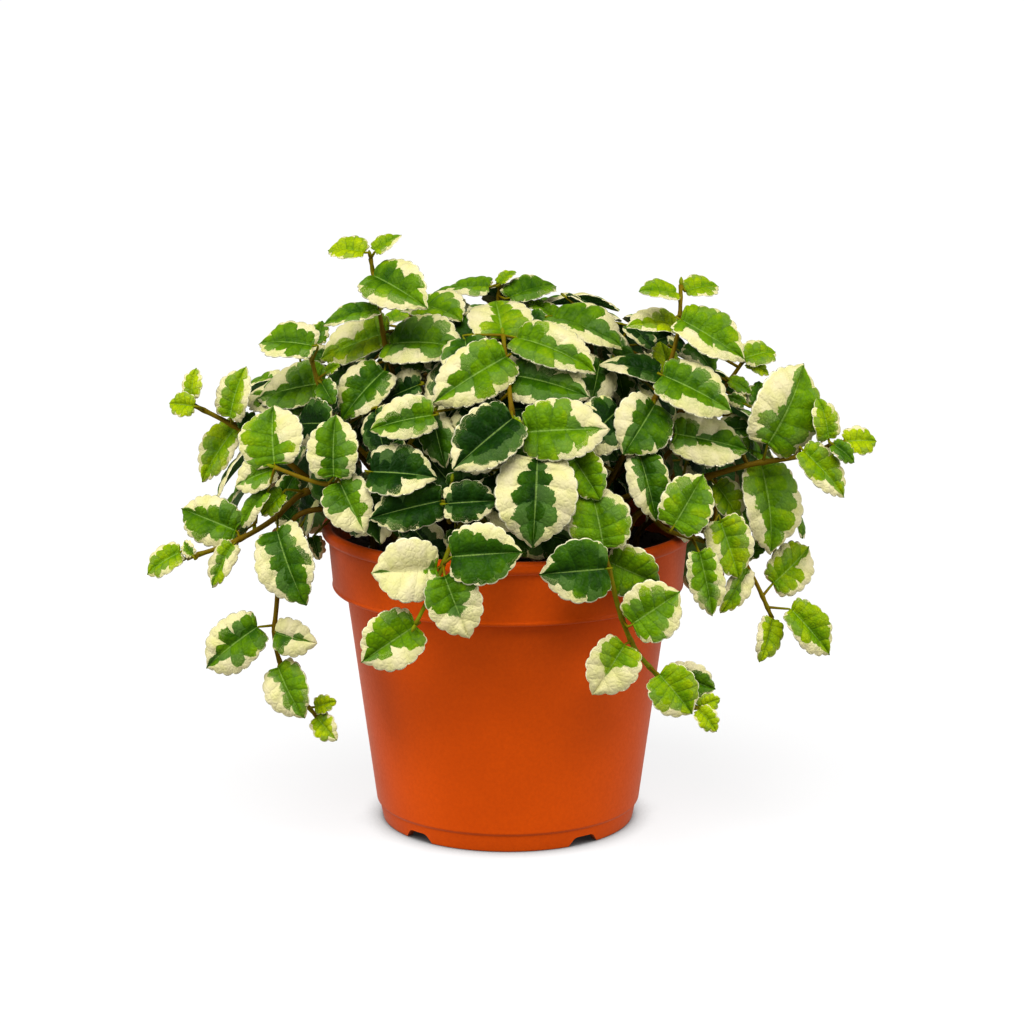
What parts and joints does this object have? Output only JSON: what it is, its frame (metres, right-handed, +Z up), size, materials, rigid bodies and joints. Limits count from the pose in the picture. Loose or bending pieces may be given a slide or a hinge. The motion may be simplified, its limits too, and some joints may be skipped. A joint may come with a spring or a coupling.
{
  "type": "potted creeping fig",
  "caption": "Small trailing house plant with scalloped, cream-edged green leaves on thin stems, growing in a round plastic nursery pot with a stacking band and a notched foot.",
  "frame": {"origin": "on the ground under the pot's axis, which is the bottom centre of the whole plant's box", "axes": "+Z up the pot's axis, -Y to the front as pictured, +X to the right"},
  "size_m": [0.2289, 0.1611, 0.1933],
  "materials": {
    "pot": "satin",
    "soil": "matte",
    "foliage": "satin"
  },
  "bodies": {
    "root": {"pot": "pot", "soil": "soil", "stem_crown_left": "foliage", "stem_shoulder_left": "foliage", "stem_arm_left_upper": "foliage", "stem_left_front": "foliage", "stem_arm_left_lower": "foliage", "stem_hang_left": "foliage", "stem_hang_front_left": "foliage", "stem_crown_centre": "foliage", "stem_crown_back_centre": "foliage", "stem_crown_back_left": "foliage", "stem_centre_low": "foliage", "stem_centre_left": "foliage", "stem_front_low_left": "foliage", "stem_hang_front_right": "foliage", "stem_crown_right": "foliage", "stem_crown_back_right": "foliage", "stem_shoulder_right": "foliage", "stem_arm_right": "foliage", "stem_right_low": "foliage", "stem_hang_right": "foliage", "stem_right_inner": "foliage", "stem_back_inner_1": "foliage", "stem_back_inner_2": "foliage", "stem_back_inner_3": "foliage", "stem_back_inner_4": "foliage", "stem_back_outer_1": "foliage", "stem_back_outer_2": "foliage", "stem_back_outer_3": "foliage", "stem_back_outer_4": "foliage", "stem_back_outer_5": "foliage", "stem_back_outer_6": "foliage", "stem_back_outer_7": "foliage", "stem_back_hang_1": "foliage", "stem_back_hang_2": "foliage", "stem_back_hang_3": "foliage"}
  },
  "joints": []
}
